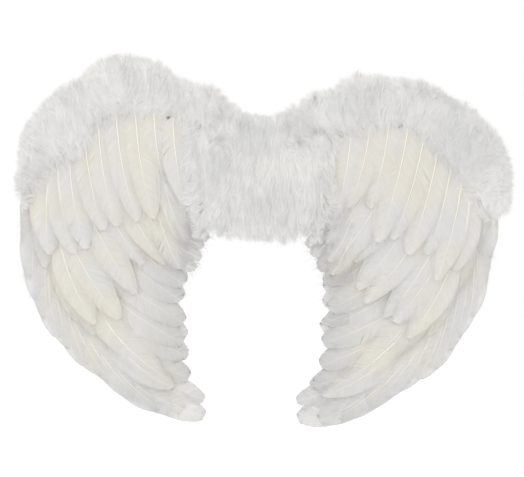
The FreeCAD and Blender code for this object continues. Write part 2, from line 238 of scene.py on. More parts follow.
class Surface:
    """A material with a Principled shader, and short ways to add texture nodes to it."""

    def __init__(self, name, roughness, sheen=0.0, specular=0.3):
        self.material = bpy.data.materials.new(name)
        self.material.use_nodes = True
        self.nodes = self.material.node_tree.nodes
        self.links = self.material.node_tree.links
        self.shader = self.nodes["Principled BSDF"]
        self.give("Roughness", roughness)
        self.give("Specular IOR Level", specular)
        self.give("Sheen Weight", sheen)
        self.give("Sheen Roughness", 0.5)

    def give(self, name, value):
        self.feed(self.shader.inputs[name], value)

    def feed(self, socket, value):
        """Sets an input to a number, a vector or a colour, or links an output to it."""
        if isinstance(value, (int, float)):
            socket.default_value = value
        elif isinstance(value, tuple):
            socket.default_value = value if len(socket.default_value) == 3 else (*value, 1)
        else:
            self.links.new(value, socket)

    def node(self, kind, inputs, output, **settings):
        """Adds a node, sets it up, feeds its inputs, and returns one of its outputs."""
        made = self.nodes.new("ShaderNode" + kind)
        for name, value in settings.items():
            setattr(made, name, value)
        for name, value in inputs.items():
            self.feed(made.inputs[name], value)
        return made.outputs[output]

    def place(self):
        return self.node("TexCoord", {}, "Object")

    def along_across(self):
        return self.node("UVMap", {}, "UV", uv_map="along_across")

    def attribute(self, name):
        return self.node("Attribute", {}, "Fac", attribute_name=name)

    def arithmetic(self, operation, first, second):
        return self.node("Math", {0: first, 1: second}, "Value", operation=operation)

    def noise(self, vector, scale, detail=3.0, roughness=0.5, stretch=None):
        if stretch:
            vector = self.node("Mapping", {"Vector": vector, "Scale": stretch}, "Vector")
        inputs = {"Vector": vector, "Scale": scale, "Detail": detail, "Roughness": roughness}
        return self.node("TexNoise", inputs, "Fac")

    def ramp(self, source, *stops):
        """A colour for each value of the source, from two or more stops of position and colour."""
        made = self.nodes.new("ShaderNodeValToRGB")
        elements = made.color_ramp.elements
        for i, (position, colour) in enumerate((stops[0], stops[-1])):
            elements[i].position = position
            elements[i].color = (*colour, 1)
        for position, colour in stops[1:-1]:
            elements.new(position).color = (*colour, 1)
        self.feed(made.inputs["Fac"], source)
        return made.outputs["Color"]

    def mix(self, share, first, second, blend="MIX"):
        made = self.nodes.new("ShaderNodeMix")
        made.data_type = "RGBA"
        made.blend_type = blend
        sockets = {socket.name: socket for socket in made.inputs if socket.enabled}
        for name, value in (("Factor", share), ("A", first), ("B", second)):
            self.feed(sockets[name], value)
        return [socket for socket in made.outputs if socket.enabled][0]

    def shaded(self, colour, source, start, shade, end):
        """The colour times a ramp of the source, from a shade at the start to white at the end."""
        return self.mix(1.0, colour, self.ramp(source, (start, shade), (end, WHITE)), "MULTIPLY")

    def let_light_through(self, colour, share):
        """Mixes in a share of translucent surface, as thin vanes glow where they overlap."""
        glow = self.node("BsdfTranslucent", {"Color": colour}, "BSDF")
        both = self.node("MixShader", {0: share, 1: self.shader.outputs["BSDF"], 2: glow}, "Shader")
        output = [n for n in self.nodes if n.bl_idname == "ShaderNodeOutputMaterial"][0]
        self.feed(output.inputs["Surface"], both)

    def finish(self, colour, height, strength, depth):
        """Takes a base colour and a bump from a height, and hands over the material."""
        self.give("Base Color", colour)
        inputs = {"Height": height, "Strength": strength, "Distance": depth}
        self.give("Normal", self.node("Bump", inputs, "Normal"))
        return self.material


def feather_material(name, pale, cream, dusk, grey):
    """Vanes: fine lines along the barbs, cream patches, and tips and rims that go grey by attribute, as
    painted shade.
    """
    vane = Surface(name, 0.62, sheen=0.12, specular=0.25)
    layer = vane.along_across()
    fine = vane.noise(layer, 1.0, 2.0, stretch=(900.0, 1.2, 1.0))
    broad = vane.noise(layer, 1.0, 2.0, stretch=(120.0, 0.9, 1.0))
    patches = vane.noise(vane.place(), 17.0)
    warm = vane.arithmetic("MULTIPLY", vane.attribute("tint"), 0.24)
    warm = vane.arithmetic("ADD", warm, patches)
    colour = vane.ramp(warm, (0.45, dusk), (0.58, pale), (0.76, cream))
    # Painted shade: where the grey attribute says so, at the tips and along the rims, the vane goes towards
    # the grey colour.
    colour = vane.mix(vane.attribute("grey"), colour, grey)
    colour = vane.shaded(colour, fine, 0.3, (0.885, 0.885, 0.885), 0.65)
    colour = vane.shaded(colour, broad, 0.3, (0.905, 0.905, 0.91), 0.65)
    vane.let_light_through(colour, 0.25)
    return vane.finish(colour, fine, strength=0.3, depth=0.0003)


def quill_material():
    quill = Surface("quill", 0.38, specular=0.45)
    grain = quill.noise(quill.along_across(), 1.0, stretch=(40.0, 9.0, 1.0))
    colour = quill.ramp(grain, (0.3, (0.80, 0.765, 0.67)), (0.7, (0.87, 0.845, 0.775)))
    return quill.finish(colour, grain, strength=0.15, depth=0.0002)


def down_material(name, pale, strength):
    """Down: white, with soft cloudy shading, and greyer where an attribute says so, as painted shade at the
    tufts and in the fringe.
    """
    down = Surface(name, 0.9, sheen=0.25, specular=0.05)
    place = down.place()
    clumps = down.noise(place, 70.0, 5.0, 0.6)
    warm = (pale[0], pale[1] * 0.992, pale[2] * 0.975)
    colour = down.ramp(down.noise(place, 16.0, 2.0), (0.35, pale), (0.7, warm))
    colour = down.shaded(colour, clumps, 0.3, (0.95, 0.95, 0.955), 0.6)
    colour = down.shaded(colour, down.noise(place, 24.0), 0.38, (0.92, 0.922, 0.925), 0.6)
    # Painted shade: the grey attribute takes the down towards this grey.
    colour = down.mix(down.attribute("grey"), colour, (0.60, 0.60, 0.595))
    return down.finish(colour, clumps, strength, depth=0.001)


def paper_material():
    card = Surface("card_stock", 0.9, specular=0.2)
    fibre = card.noise(card.place(), 1.0, 4.0, 0.6, stretch=(900.0, 900.0, 350.0))
    cloud = card.noise(card.place(), 30.0, 4.0)
    colour = card.ramp(cloud, (0.3, (0.66, 0.64, 0.60)), (0.7, (0.72, 0.705, 0.67)))
    colour = card.shaded(colour, fibre, 0.25, (0.9, 0.9, 0.9), 0.5)
    return card.finish(colour, fibre, strength=0.25, depth=0.0002)


def lining_material():
    """Non-woven cloth: matted fibres with a grid of small pressed dots."""
    cloth = Surface("nonwoven_lining", 0.9, sheen=0.2, specular=0.2)
    place = cloth.place()
    dots = cloth.node("TexVoronoi", {"Vector": place, "Scale": 420.0, "Randomness": 0.0}, "Distance")
    pressed = cloth.ramp(dots, (0.18, (0, 0, 0)), (0.34, WHITE))
    fibre = cloth.noise(place, 1.0, 4.0, stretch=(700.0, 700.0, 260.0))
    colour = cloth.ramp(fibre, (0.3, (0.66, 0.655, 0.64)), (0.7, (0.74, 0.735, 0.72)))
    colour = cloth.shaded(colour, pressed, 0.0, (0.93, 0.93, 0.93), 1.0)
    return cloth.finish(colour, pressed, strength=0.5, depth=0.0002)


def felt_material():
    felt = Surface("pressed_felt", 0.95, sheen=0.4, specular=0.15)
    fibre = felt.noise(felt.place(), 900.0, 5.0, 0.7)
    cloud = felt.noise(felt.place(), 90.0)
    colour = felt.ramp(cloud, (0.3, (0.68, 0.675, 0.66)), (0.7, (0.76, 0.755, 0.74)))
    colour = felt.shaded(colour, fibre, 0.3, (0.88, 0.88, 0.88), 0.6)
    return felt.finish(colour, fibre, strength=0.6, depth=0.0005)


def woven_material(name, pitch, pale, shadow, strength, mapped=True):
    """A plain weave from two crossed waves, in the along and across coordinates or in the object's."""
    cloth = Surface(name, 0.8, sheen=0.2, specular=0.2)
    inputs = {
        "Vector": cloth.along_across() if mapped else cloth.place(),
        "Scale": WAVE_PERIOD / pitch,
        "Distortion": 0.4,
    }
    waves = [
        cloth.node("TexWave", inputs, "Fac", bands_direction=direction)
        for direction in ("X", "Y" if mapped else "Z")
    ]
    weave = cloth.arithmetic("MULTIPLY", *waves)
    colour = cloth.ramp(weave, (0.0, shadow), (0.5, pale))
    colour = cloth.shaded(colour, cloth.noise(cloth.place(), 60.0), 0.3, (0.95, 0.95, 0.95), 0.7)
    return cloth.finish(colour, weave, strength, depth=0.0003)


def metal_material(name, low, high, roughness, stretch):
    metal = Surface(name, roughness, specular=0.5)
    metal.give("Metallic", 1.0)
    drawn = metal.noise(metal.place(), 1.0, 4.0, 0.6, stretch=stretch)
    return metal.finish(metal.ramp(drawn, (0.3, low), (0.7, high)), drawn, strength=0.1, depth=0.0002)


MATERIALS = {
    "feather": feather_material(
        "flight_feather",
        pale=(0.915, 0.898, 0.862), cream=(0.93, 0.901, 0.818),
        dusk=(0.90, 0.895, 0.885), grey=(0.70, 0.70, 0.70),
    ),
    # A darker copy of the feather look: painted shade for the row that lies behind the others.
    "under_feather": feather_material(
        "under_feather",
        pale=(0.80, 0.79, 0.775), cream=(0.84, 0.825, 0.79),
        dusk=(0.75, 0.745, 0.735), grey=(0.66, 0.655, 0.65),
    ),
    "quill": quill_material(),
    "down": down_material("down_barbs", (0.975, 0.97, 0.96), 0.1),
    "down_bed": down_material("down_bed", (0.925, 0.92, 0.912), 0.35),
    "card": paper_material(),
    "lining": lining_material(),
    "felt": felt_material(),
    "cloth_tape": woven_material("cloth_tape", 0.55 * MM, (0.84, 0.835, 0.82), (0.70, 0.69, 0.67), 0.5),
    "tape_on_wire": woven_material(
        "wire_tape", 0.55 * MM, (0.82, 0.815, 0.80), (0.68, 0.67, 0.65), 0.5, mapped=False
    ),
    "elastic": woven_material("elastic_band", 0.8 * MM, (0.86, 0.855, 0.85), (0.62, 0.615, 0.61), 0.9),
    "steel_wire": metal_material(
        "drawn_wire", (0.42, 0.42, 0.43), (0.60, 0.60, 0.61), 0.42, (300.0, 300.0, 60.0)
    ),
    "rivet_metal": metal_material(
        "nickel_plate", (0.62, 0.61, 0.59), (0.74, 0.73, 0.71), 0.24, (500.0, 500.0, 500.0)
    ),
    "washer_metal": metal_material(
        "zinc_plate", (0.50, 0.51, 0.53), (0.66, 0.67, 0.68), 0.36, (700.0, 120.0, 700.0)
    ),
}


class Chart:
    """Values on an X-Z grid, read between its points."""

    def __init__(self, low, high, step):
        self.low = np.asarray(low)
        self.step = step
        self.size = np.ceil((np.asarray(high) - self.low) / step).astype(int) + 1
        ix, iz = np.meshgrid(np.arange(self.size[0]), np.arange(self.size[1]), indexing="ij")
        self.spots = self.low + np.stack((ix.ravel(), iz.ravel()), axis=-1) * step

    def read(self, values, spots):
        grid = values.reshape(*self.size, -1)
        place = np.clip((spots - self.low) / self.step, 0, self.size - 1.001)
        i = place.astype(int)
        f = (place - i)[..., None]
        x, z = i[:, 0], i[:, 1]
        fx, fz = f[:, 0], f[:, 1]
        near = grid[x, z] * (1 - fz) + grid[x, z + 1] * fz
        far = grid[x + 1, z] * (1 - fz) + grid[x + 1, z + 1] * fz
        found = near * (1 - fx) + far * fx
        return found[:, 0] if found.shape[1] == 1 else found

    def lowest(self, points, empty, passes):
        """The lowest Y of the points in each cell, spread to the cells beside it."""
        grid = np.full(self.size, empty)
        cell = np.round((points[:, ::2] - self.low) / self.step).astype(int)
        np.minimum.at(grid, (cell[:, 0], cell[:, 1]), points[:, 1])
        for _ in range(passes):
            for axis in (0, 1):
                grid = np.minimum(grid, np.minimum(np.roll(grid, 1, axis), np.roll(grid, -1, axis)))
        return grid.ravel()


# ---------------------------------------------------------------- feathers

VANE_GROUPS = 10
GROUP_ROWS = 4
VANE_COLUMNS = 5
VANE_SPAN = (0.10, 0.985)
INNER_VANE = 0.9
OUTER_VANE = 1.08
QUILL_ROWS = 18
QUILL_SIDES = 6
QUILL_END = 0.985
QUILL_TIP_RADIUS = 0.14 * MM
UV_PER_METRE = 10
FEATHER_AREA = ((-0.32, -0.32), (0.33, 0.16))
FEATHER_CHART_STEP = 3 * MM
WING_END_Z = -262 * MM
WING_END_REACH = 7 * MM
# Painted shade: feathers whose tips lie nearer the middle than this in X get greyer tips, by this gain.
SHADED_TIPS_X = 150 * MM
SHADED_TIPS_GAIN = 1.8

Blade = namedtuple("Blade", "root tip across normal bow half")
Style = namedtuple("Style", "arch camber taper rim spread split ragged grey wisps vane quill")

# A row's arch in mm, camber, taper, painted shade on the rim, range of lengths, share of groups that part,
# raggedness, painted shade on the tips, number of stray barbs, width of the vanes, and quill radius in mm.
FEATHER_ROWS = {
    "under_feathers": Style(0.8, 0.04, 0.2, 0.0, (0.97, 1.03), 0.06, 0.8, 1.0, 60, 1.0, 0.8),
    "tertial_feathers": Style(1.2, 0.08, 0.0, 0.0, (0.97, 1.03), 0.08, 0.8, 0.9, 140, 1.04, 0.8),
    "primary_feathers": Style(1.2, 0.09, 0.12, 0.9, (0.97, 1.03), 0.05, 0.6, 0.6, 120, 1.12, 1.0),
    "secondary_feathers": Style(1.4, 0.12, 0.65, 0.1, (0.90, 1.08), 0.08, 0.8, 0.25, 300, 1.08, 1.0),
    "median_covert_feathers": Style(1.4, 0.13, 0.7, 0.0, (0.86, 1.12), 0.10, 1.0, 0.1, 420, 1.1, 1.1),
    "greater_covert_feathers": Style(1.6, 0.12, 0.65, 0.0, (0.88, 1.10), 0.10, 1.0, 0.05, 420, 1.12, 1.3),
    "inner_covert_feathers": Style(1.4, 0.14, 0.4, 0.0, (0.86, 1.06), 0.16, 1.3, 0.35, 420, 1.05, 0.9),
}

# Small fluffy feathers under the upper inner edge of a wing: x and z of the root and of the tip, in mm.
EDGE_FLUFF = {
    "left": ((98, -98, 70, -112), (96, -84, 64, -100), (92, -66, 62, -86), (86, -58, 57, -77)),
    "right": ((94, -86, 74, -108), (90, -66, 66, -90), (84, -58, 58, -80)),
}
FLUFF_RISE = 1.0 * MM
FLUFF_BOW = 1.5 * MM
FLUFF_HALF_WIDTH = 9 * MM


def blades(node, sign):
    """Each flat blade in a CAD node of feathers."""
    found = []
    for points in solids_of(node):
        centre = points.mean(0)
        along, across, normal = np.linalg.svd(points - centre)[2]
        s = (points - centre) @ along
        width = np.abs((points - centre) @ across)
        if width[s > 0.8 * s.max()].max() < width[s < 0.8 * s.min()].max():
            along = -along
            s = -s
        if normal @ FRONT < 0:
            normal = -normal
        tip = points[s > s.max() - 0.2 * MM].mean(0)
        root = points[s < s.min() + 1.5 * MM].mean(0)
        length = np.linalg.norm(tip - root)
        along = (tip - root) / length
        across = unit(np.cross(normal, along) * sign)
        s = (points - root) @ along / length
        t = (points - root) @ across
        middle = np.abs(s - 0.6) < 0.04
        low, high = t[middle].min(), t[middle].max()
        bow = (high + low) / 2 / (4 * 0.6 * 0.4)
        found.append(Blade(root, tip, across, normal, bow, (high - low) / 2))
    return found


def outline_width(share, taper):
    """How wide a vane is, from 0 to 1, at a share of the feather's length. Taper 1 gives a pointed tip."""
    share = limited(share)
    base = limited(share / 0.32) ** 0.6
    first = 0.6 - 0.18 * taper
    narrowing = limited((share - first) / (1 - first)) ** (2.2 - 0.7 * taper)
    return base * limited(1 - narrowing) ** (0.5 + 0.3 * taper)


class Feather:
    """A bowed quill with a vane on each side, built of groups of barbs that part here and there."""

    def __init__(self, blade, rng, style, beneath):
        self.style = style
        self.taper = style.taper * rng.uniform(0.6, 1.2)
        self.root = blade.root
        chord = blade.tip - blade.root
        size = np.linalg.norm(chord)
        self.length = size * rng.uniform(*style.spread)
        if blade.tip[2] < WING_END_Z:
            self.length += WING_END_REACH
        self.along = unit(chord + blade.across * size * rng.normal(0, 0.02))
        self.across = unit(np.cross(np.cross(self.along, blade.across), self.along))
        self.normal = blade.normal
        self.bow = blade.bow * rng.uniform(0.7, 1.3)
        self.half = blade.half * rng.uniform(0.92, 1.08)
        self.tint = rng.uniform(0, 1)
        tip = blade.root + self.along * self.length * 0.95
        under = beneath(tip[None, ::2])[0]
        self.drop = 1.0 * MM
        if under <= -1 * MM:
            self.drop = float(np.clip(under - tip[1] - 0.7 * MM, 0.5 * MM, 12 * MM))
        # Painted shade: greyer tips for the feathers along the inner edge of the wing.
        gain = SHADED_TIPS_GAIN if abs(blade.tip[0]) < SHADED_TIPS_X else 1.0
        self.painted_tip_shade = min(1.0, style.grey * gain)

    def spine(self, share):
        """Points on the quill, which arches up from the wing and comes down at its tip."""
        share = np.asarray(share)[..., None]
        curve = 4 * share * (1 - share)
        tail = limited((share - 0.3) / 0.7) ** 1.7
        line = self.root + self.along * (self.length * share) + self.across * (self.bow * curve)
        return line + self.normal * (self.style.arch * MM * curve - self.drop * tail)

    # Painted shade: how grey the vane is, from none before 0.4 of its length up to its greatest at the tip.
    def grey(self, share):
        return self.painted_tip_shade * limited((share - 0.4) / 0.6) ** 1.5

    def add_vane(self, vanes, side, rng):
        raggedness = self.style.ragged
        edge = self.half * self.style.vane * (INNER_VANE if side > 0 else OUTER_VANE)
        starts = np.linspace(*VANE_SPAN, VANE_GROUPS * GROUP_ROWS + 1)
        index = np.arange(VANE_GROUPS)[:, None] * GROUP_ROWS + np.arange(GROUP_ROWS + 1)[None]
        s = starts[index][..., None]
        v = np.linspace(0, 1, VANE_COLUMNS)[None, None]
        room = self.length * (1 - s)
        sweep = 1.05 * edge * outline_width(s + 0.04, self.taper)
        reach = room * (1 - np.exp(-sweep / np.maximum(room, 1e-6))) / self.length
        within = np.linspace(-1, 1, GROUP_ROWS + 1)[None, :, None]
        per_group = (VANE_GROUPS, 1, 1)
        parts = rng.random(per_group) < self.style.split
        parting = np.where(parts, rng.uniform(0.3, 0.9, per_group), 0.02)
        squeeze = -within * parting * MM * raggedness / self.length
        shift = rng.normal(0, 0.2 * MM * raggedness, per_group) / self.length
        at = s + (reach + squeeze + shift) * v ** 1.3
        ragged = 1 + rng.normal(0, 0.012 * raggedness, (VANE_GROUPS, GROUP_ROWS + 1, 1))
        ragged[:, -1] = np.where(parting[:, 0] > 0.1, ragged[:, -1], np.roll(ragged[:, 0], -1, axis=0))
        wide = outline_width(s + reach, self.taper)
        lateral = edge * wide * v ** 0.95 * ragged * side
        lift = rng.normal(0, 0.12 * MM * raggedness, per_group) * v ** 1.5
        lift = lift - self.style.camber * edge * v ** 3 * wide
        points = self.spine(np.clip(at, 0, 1.01)) + self.across * lateral[..., None]
        points = points + self.normal * lift[..., None]
        coordinates = np.stack(np.broadcast_arrays(s * self.length * UV_PER_METRE, v * side), axis=-1)
        grey = self.grey(at)
        # Painted shade along the edge of one vane, growing towards that edge.
        if side > 0:
            grey = np.maximum(grey, self.style.rim * v ** 3)
        vanes.add(points, coordinates, np.full(VANE_GROUPS, self.tint), grey)

    def add_wisps(self, vanes, rng):
        """Stray barbs that lift off the vanes, most of them near the rims."""
        count = self.style.wisps
        each = (count, 1, 1)
        side = np.where(rng.random(count) < 0.5, -1.0, 1.0)
        start = 0.25 + 0.72 * rng.random(count) ** 0.7
        at_rim = rng.random(count) < 0.7
        out = np.where(at_rim, rng.uniform(0.8, 0.95, count), rng.uniform(0.1, 0.8, count))
        wide = outline_width(start, self.taper)
        lateral = self.half * wide * out * side
        at_rim = out > 0.8
        size = rng.uniform(5, 12, count) * MM * np.where(at_rim, 0.9, 1.2)
        size = size[:, None, None]
        v = np.linspace(0, 1, 4)[None, :, None]
        opening = rng.normal(0.55, 0.25, count)[:, None, None]
        lean = rng.normal(0, 0.35, each)
        outward = self.across * side[:, None, None]
        run = self.along * np.cos(opening) + outward * np.sin(opening)
        base = self.spine(start) + self.across * lateral[:, None]
        sunk = self.style.camber * self.half * (out ** 3 * wide)[:, None]
        base = base + self.normal * (0.25 * MM - sunk)
        rise = rng.uniform(0.1, 1.1, each) * MM * np.where(at_rim, 0.35, 1.0)[:, None, None]
        line = base[:, None] + run * size * v + outward * lean * size * v ** 2
        line = line + self.normal * rise * np.sin(math.pi * v * 0.7)
        flat = np.broadcast_to(np.cross(self.along, self.normal), (count, 3))
        width = rng.uniform(0.10, 0.2, (count, 1)) * MM * (1 - 0.7 * v[..., 0])
        add_ribbons(vanes, line, flat, width, np.full(count, self.tint), self.grey(start)[:, None])

    def add_quill(self, quills):
        share = np.linspace(0, QUILL_END, QUILL_ROWS)
        angle = np.arange(QUILL_SIDES) / QUILL_SIDES * 2 * math.pi
        radius = self.style.quill * MM * (1 - share) ** 1.1 + QUILL_TIP_RADIUS
        radius = radius[:, None, None]
        ring = self.across * np.cos(angle)[:, None] + self.normal * np.sin(angle)[:, None]
        tube = self.spine(share)[:, None] + ring[None] * radius + self.normal * radius * 0.35
        along = share[:, None] * self.length * UV_PER_METRE
        coordinates = np.stack(np.broadcast_arrays(along, angle[None]), axis=-1)
        quills.add(tube[None], coordinates[None], np.array([self.tint]), closed=True)


def add_ribbons(sheaf, points, flat, width, tints, greys=0.0):
    """One narrow strip along each row of points."""
    shift = flat[:, None] * width[..., None]
    ribbon = np.stack((points - shift, points + shift), axis=2)
    v = np.linspace(0, 1, points.shape[1])
    coordinates = np.stack(np.meshgrid(v, (0.0, 1.0), indexing="ij"), axis=-1)
    greys = np.broadcast_to(greys, points.shape[:2])[..., None]
    sheaf.add(ribbon, np.broadcast_to(coordinates, (*ribbon.shape[:3], 2)), tints, greys)


def fluff_blades(side, depth):
    sign = SIDES[side]
    found = []
    for root_x, root_z, tip_x, tip_z in EDGE_FLUFF[side]:
        root = np.array((sign * root_x * MM, depth - FLUFF_RISE, root_z * MM))
        tip = np.array((sign * tip_x * MM, depth, tip_z * MM))
        across = unit(np.cross(FRONT, tip - root) * sign)
        found.append(Blade(root, tip, across, FRONT, FLUFF_BOW, FLUFF_HALF_WIDTH))
    return found


def build_feathers(side, row, seed, laid):
    """One row, whose tips come down on what has been laid before it."""
    chart = Chart(*FEATHER_AREA, FEATHER_CHART_STEP)
    heights = chart.lowest(np.concatenate(laid), 0.0, 0) if laid else np.zeros(len(chart.spots))
    node = side + "_" + row
    rng = np.random.default_rng(seed)
    vanes = Sheaf()
    quills = Sheaf()
    found = blades(node, SIDES[side])
    look = "feather"
    # The row behind takes the darker copy of the feather look, as painted shade.
    if row == "under_feathers":
        look = "under_feather"
        found += fluff_blades(side, min(blade.tip[1] for blade in found))
    for blade in found:
        feather = Feather(blade, rng, FEATHER_ROWS[row], lambda spots: chart.read(heights, spots))
        for vane_side in (1.0, -1.0):
            feather.add_vane(vanes, vane_side, rng)
        feather.add_wisps(vanes, rng)
        feather.add_quill(quills)
    piece(node + "_vanes", vanes, side + "_wing", look, [node])
    piece(node + "_quills", quills, side + "_wing", "quill")
    laid.append(np.concatenate(vanes.points))


# ---------------------------------------------------------------- down

BARB_ROWS = 4
BED_STEP = 2 * MM
FRINGE = 20 * MM
FRINGE_ROOTS = 5 * MM
SKIRT = 12 * MM
BARB_SPACING = 0.80 * MM
PLUME_SPACING = 1.1 * MM

# The bed in front of the centre and of a wing: where in X, the depth of its rim, and how far it domes.
BED_X = (35 * MM, 82 * MM)
BED_RIM_Y = (-13 * MM, -20 * MM)
BED_CROWN = (9 * MM, 8 * MM)
BED_SLOPE = 20 * MM
BED_MARGIN = 20 * MM
ROLL_BACK = 10 * MM
ROLL_WIDTH = 16 * MM
BOARD_EDGE_X = 60 * MM
RIDGE = 21 * MM

CENTRE_DOWN = ("centre_upper_down", "centre_middle_down", "centre_lower_down")
WING_DOWN = ("crest_down", "shoulder_down", "outer_down", "root_down")

# The strip of down over each hinge.
FOLD_OUTLINE = ((0.046, -0.076), (0.059, -0.070), (0.059, 0.107), (0.046, 0.098))

# Short plumes that fall from the root down over the quills of the inner feathers.
ROOT_PLUMES = (
    (0.076, 0.058), (0.088, 0.060), (0.087, 0.030), (0.084, -0.030), (0.078, -0.076), (0.062, -0.080),
)

# Places where plumes start and the down parts, with painted shade for the gap there: x and z in mm.
TUFTS = {
    "left": ((127, 124), (165, 118), (233, 78), (262, 20), (214, 92), (92, 78)),
    "right": ((92, 112), (168, 112), (225, 88), (273, 30), (128, 100), (250, 62)),
}
TUFT_SHADE = 0.4
TUFT_RADIUS = 5 * MM
# The same painted shade at the tufts of the centre: x and z in mm.
CENTRE_TUFTS = ((54, -57), (15, -66), (-38, -62), (30, 62), (-24, 60), (-50, 72))
CENTRE_TUFT_SHADE = 0.45
CENTRE_TUFT_RADIUS = 6 * MM

# Places where the fringe reaches further past its rim: x, z, radius and reach in mm.
SPRAYS = ((40, -78, 20, 7), (40, 84, 16, 4), (102, 118, 9, 4), (-55, 88, 12, 2))

# Barbs: greatest length, spread in radians, random grey, which in the fringe is painted shade between the
# strands, size of a lock, and how far a lock gathers.
Barbs = namedtuple("Barbs", "longest spread fleck lock gathered")
DEEP_BARBS = Barbs(15 * MM, 0.20, 0.15, 6.5 * MM, 0.22)
FRINGE_BARBS = Barbs(20 * MM, 0.12, 0.85, 3.2 * MM, 0.62)


class DownBed:
    """The whole down area of the pair as one bed: its rim, its surface, and the way its barbs lie."""

    def __init__(self, rng, feather_points):
        self.outlines = {node: front_outline(node) for node in CENTRE_DOWN}
        for wing, sign in SIDES.items():
            for part in WING_DOWN:
                self.outlines[wing + "_" + part] = front_outline(wing + "_" + part)
            self.outlines[wing + "_hinge_down"] = loop_of([(sign * x, z) for x, z in FOLD_OUTLINE])
        rim = self.outer_rim()
        low, high = (np.array((c[0], c[2])) for c in CAD_BOX)
        self.chart = Chart(low - BED_MARGIN, high + BED_MARGIN, BED_STEP)
        spots = self.chart.spots
        covered = np.zeros(len(rim), bool)
        self.beyond = np.zeros(len(spots))
        for wing, sign in SIDES.items():
            board = front_outline(wing + "_wing_board")
            feet, inside = nearest_on(board, rim)
            covered |= inside & (np.linalg.norm(feet - rim, axis=-1) > 5 * MM)
            feet, inside = nearest_on(board, spots)
            away = np.linalg.norm(feet - spots, axis=-1) * ~inside
            self.beyond += np.where(spots[:, 0] * sign > BOARD_EDGE_X, away, 0)
        self.to_foot = nearest_point(rim[~covered], spots) - spots
        self.to_free = np.linalg.norm(self.to_foot, axis=-1)
        to_rim = np.linalg.norm(nearest_point(rim, spots) - spots, axis=-1)
        held = self.holds(spots)
        self.to_rim = np.where(held, to_rim, 0)
        self.past_rim = np.where(held, 0, to_rim)
        self.cover = self.chart.lowest(feather_points, 0.0, 1)
        self.waves = rng.normal(0, 1, (14, 2)) * np.linspace(60, 260, 14)[:, None]
        self.phases = rng.uniform(0, 2 * math.pi, (3, 14))

    def outer_rim(self):
        """Points along the parts of the outlines that have down on one side only."""
        points = []
        for outline in self.outlines.values():
            for a, b in outline:
                size = np.linalg.norm(b - a)
                steps = max(2, int(size / MM))
                share = (np.arange(steps) + 0.5)[:, None] / steps
                across = np.array((a[1] - b[1], b[0] - a[0])) / max(size, 1e-9) * 1.2 * MM
                middle = a + (b - a) * share
                both = self.holds(middle + across) & self.holds(middle - across)
                points.append(middle[~both])
        return np.concatenate(points)

    def skirt(self, outline, widest, rng):
        """Spots in the band where down lies thinly over the feathers, just past an outline."""
        low, high = corners_of(outline)
        low = low - SKIRT
        high = high + SKIRT
        count = int(np.prod(high - low) / (1.2 * MM) ** 2)
        spots = rng.uniform(low, high, (count, 2))
        past = self.chart.read(self.past_rim, spots)
        reach = widest * (0.65 + 0.45 * self.cloud(spots, 1))
        on_board = self.chart.read(self.beyond, spots) == 0
        spots = spots[(past > 0.5 * MM) & (past < reach) & on_board]
        away = np.linalg.norm(nearest_on(outline, spots)[0] - spots, axis=-1)
        return spots[away < widest * rng.random(len(spots))]

    def holds(self, spots):
        """Whether each spot is inside one of the outlines."""
        found = np.zeros(len(spots), bool)
        for outline in self.outlines.values():
            low, high = corners_of(outline)
            near = ~found & (spots >= low).all(1) & (spots <= high).all(1)
            if near.any():
                found[near] = nearest_on(outline, spots[near])[1]
        return found

    def cloud(self, spots, channel):
        """A smooth random value of about -1 to 1."""
        angle = spots @ self.waves.T + self.phases[channel]
        return np.sin(angle).sum(-1) / 3.0

    def surface(self, spots):
        """Depth of the bed: domed between its rims, and rolled back past the edge of the boards."""
        x = np.abs(spots[:, 0])
        base = np.interp(x, BED_X, BED_RIM_Y)
        crown = np.interp(x, BED_X, BED_CROWN)
        rise = 1 - (1 - limited(self.chart.read(self.to_rim, spots) / BED_SLOPE)) ** 2
        depth = base - crown * rise + self.cloud(spots, 0) * 0.6 * MM * rise
        beyond = self.chart.read(self.beyond, spots)
        depth = depth + ROLL_BACK * limited(beyond / ROLL_WIDTH) ** 1.2
        return np.minimum(depth, self.chart.read(self.cover, spots) - 0.2 * MM)

    def lay(self, spots, rng):
        """The heading of the down at each spot, its distance from the free rim, and if it goes out."""
        distance = self.chart.read(self.to_free, spots)
        outward = unit(self.chart.read(self.to_foot, spots))
        ridge = RIDGE + self.cloud(spots, 1) * 5 * MM + rng.normal(0, 3.5 * MM, len(spots))
        wing = limited((np.abs(spots[:, 0]) - 50 * MM) / (35 * MM))[:, None]
        inward = -outward * wing * 0.8 + np.array((0.0, -1.0)) * (1.6 - wing)
        inward[:, 0] += spots[:, 0] * 3.0 * (1 - wing[:, 0])
        goes_out = distance < ridge
        heading = np.where(goes_out[:, None], outward, unit(inward))
        return turned(heading, self.cloud(spots, 2) * 0.30), distance, goes_out


def nearest_point(points, spots):
    """For each spot the nearest of the points, a few thousand spots at a time."""
    found = np.empty_like(spots)
    for start in range(0, len(spots), 4000):
        part = spots[start:start + 4000]
        distance = ((part[:, None] - points[None]) ** 2).sum(-1)
        found[start:start + 4000] = points[distance.argmin(1)]
    return found


def loop_of(corners):
    corners = np.array(corners)
    return np.stack((corners, np.roll(corners, -1, axis=0)), axis=1)


def turned(flat, angle):
    cosine = np.cos(angle)
    sine = np.sin(angle)
    x, z = flat.T
    return np.stack((x * cosine - z * sine, x * sine + z * cosine), axis=-1)


def jittered(outline, spacing, rng):
    """Spots inside a closed outline, on a jittered grid."""
    low, high = corners_of(outline)
    axes = (np.arange(low[i], high[i], spacing) for i in (0, 1))
    grid = np.stack(np.meshgrid(*axes), axis=-1).reshape(-1, 2)
    spots = grid + rng.uniform(-0.5, 0.5, grid.shape) * spacing
    return spots[nearest_on(outline, spots)[1]]


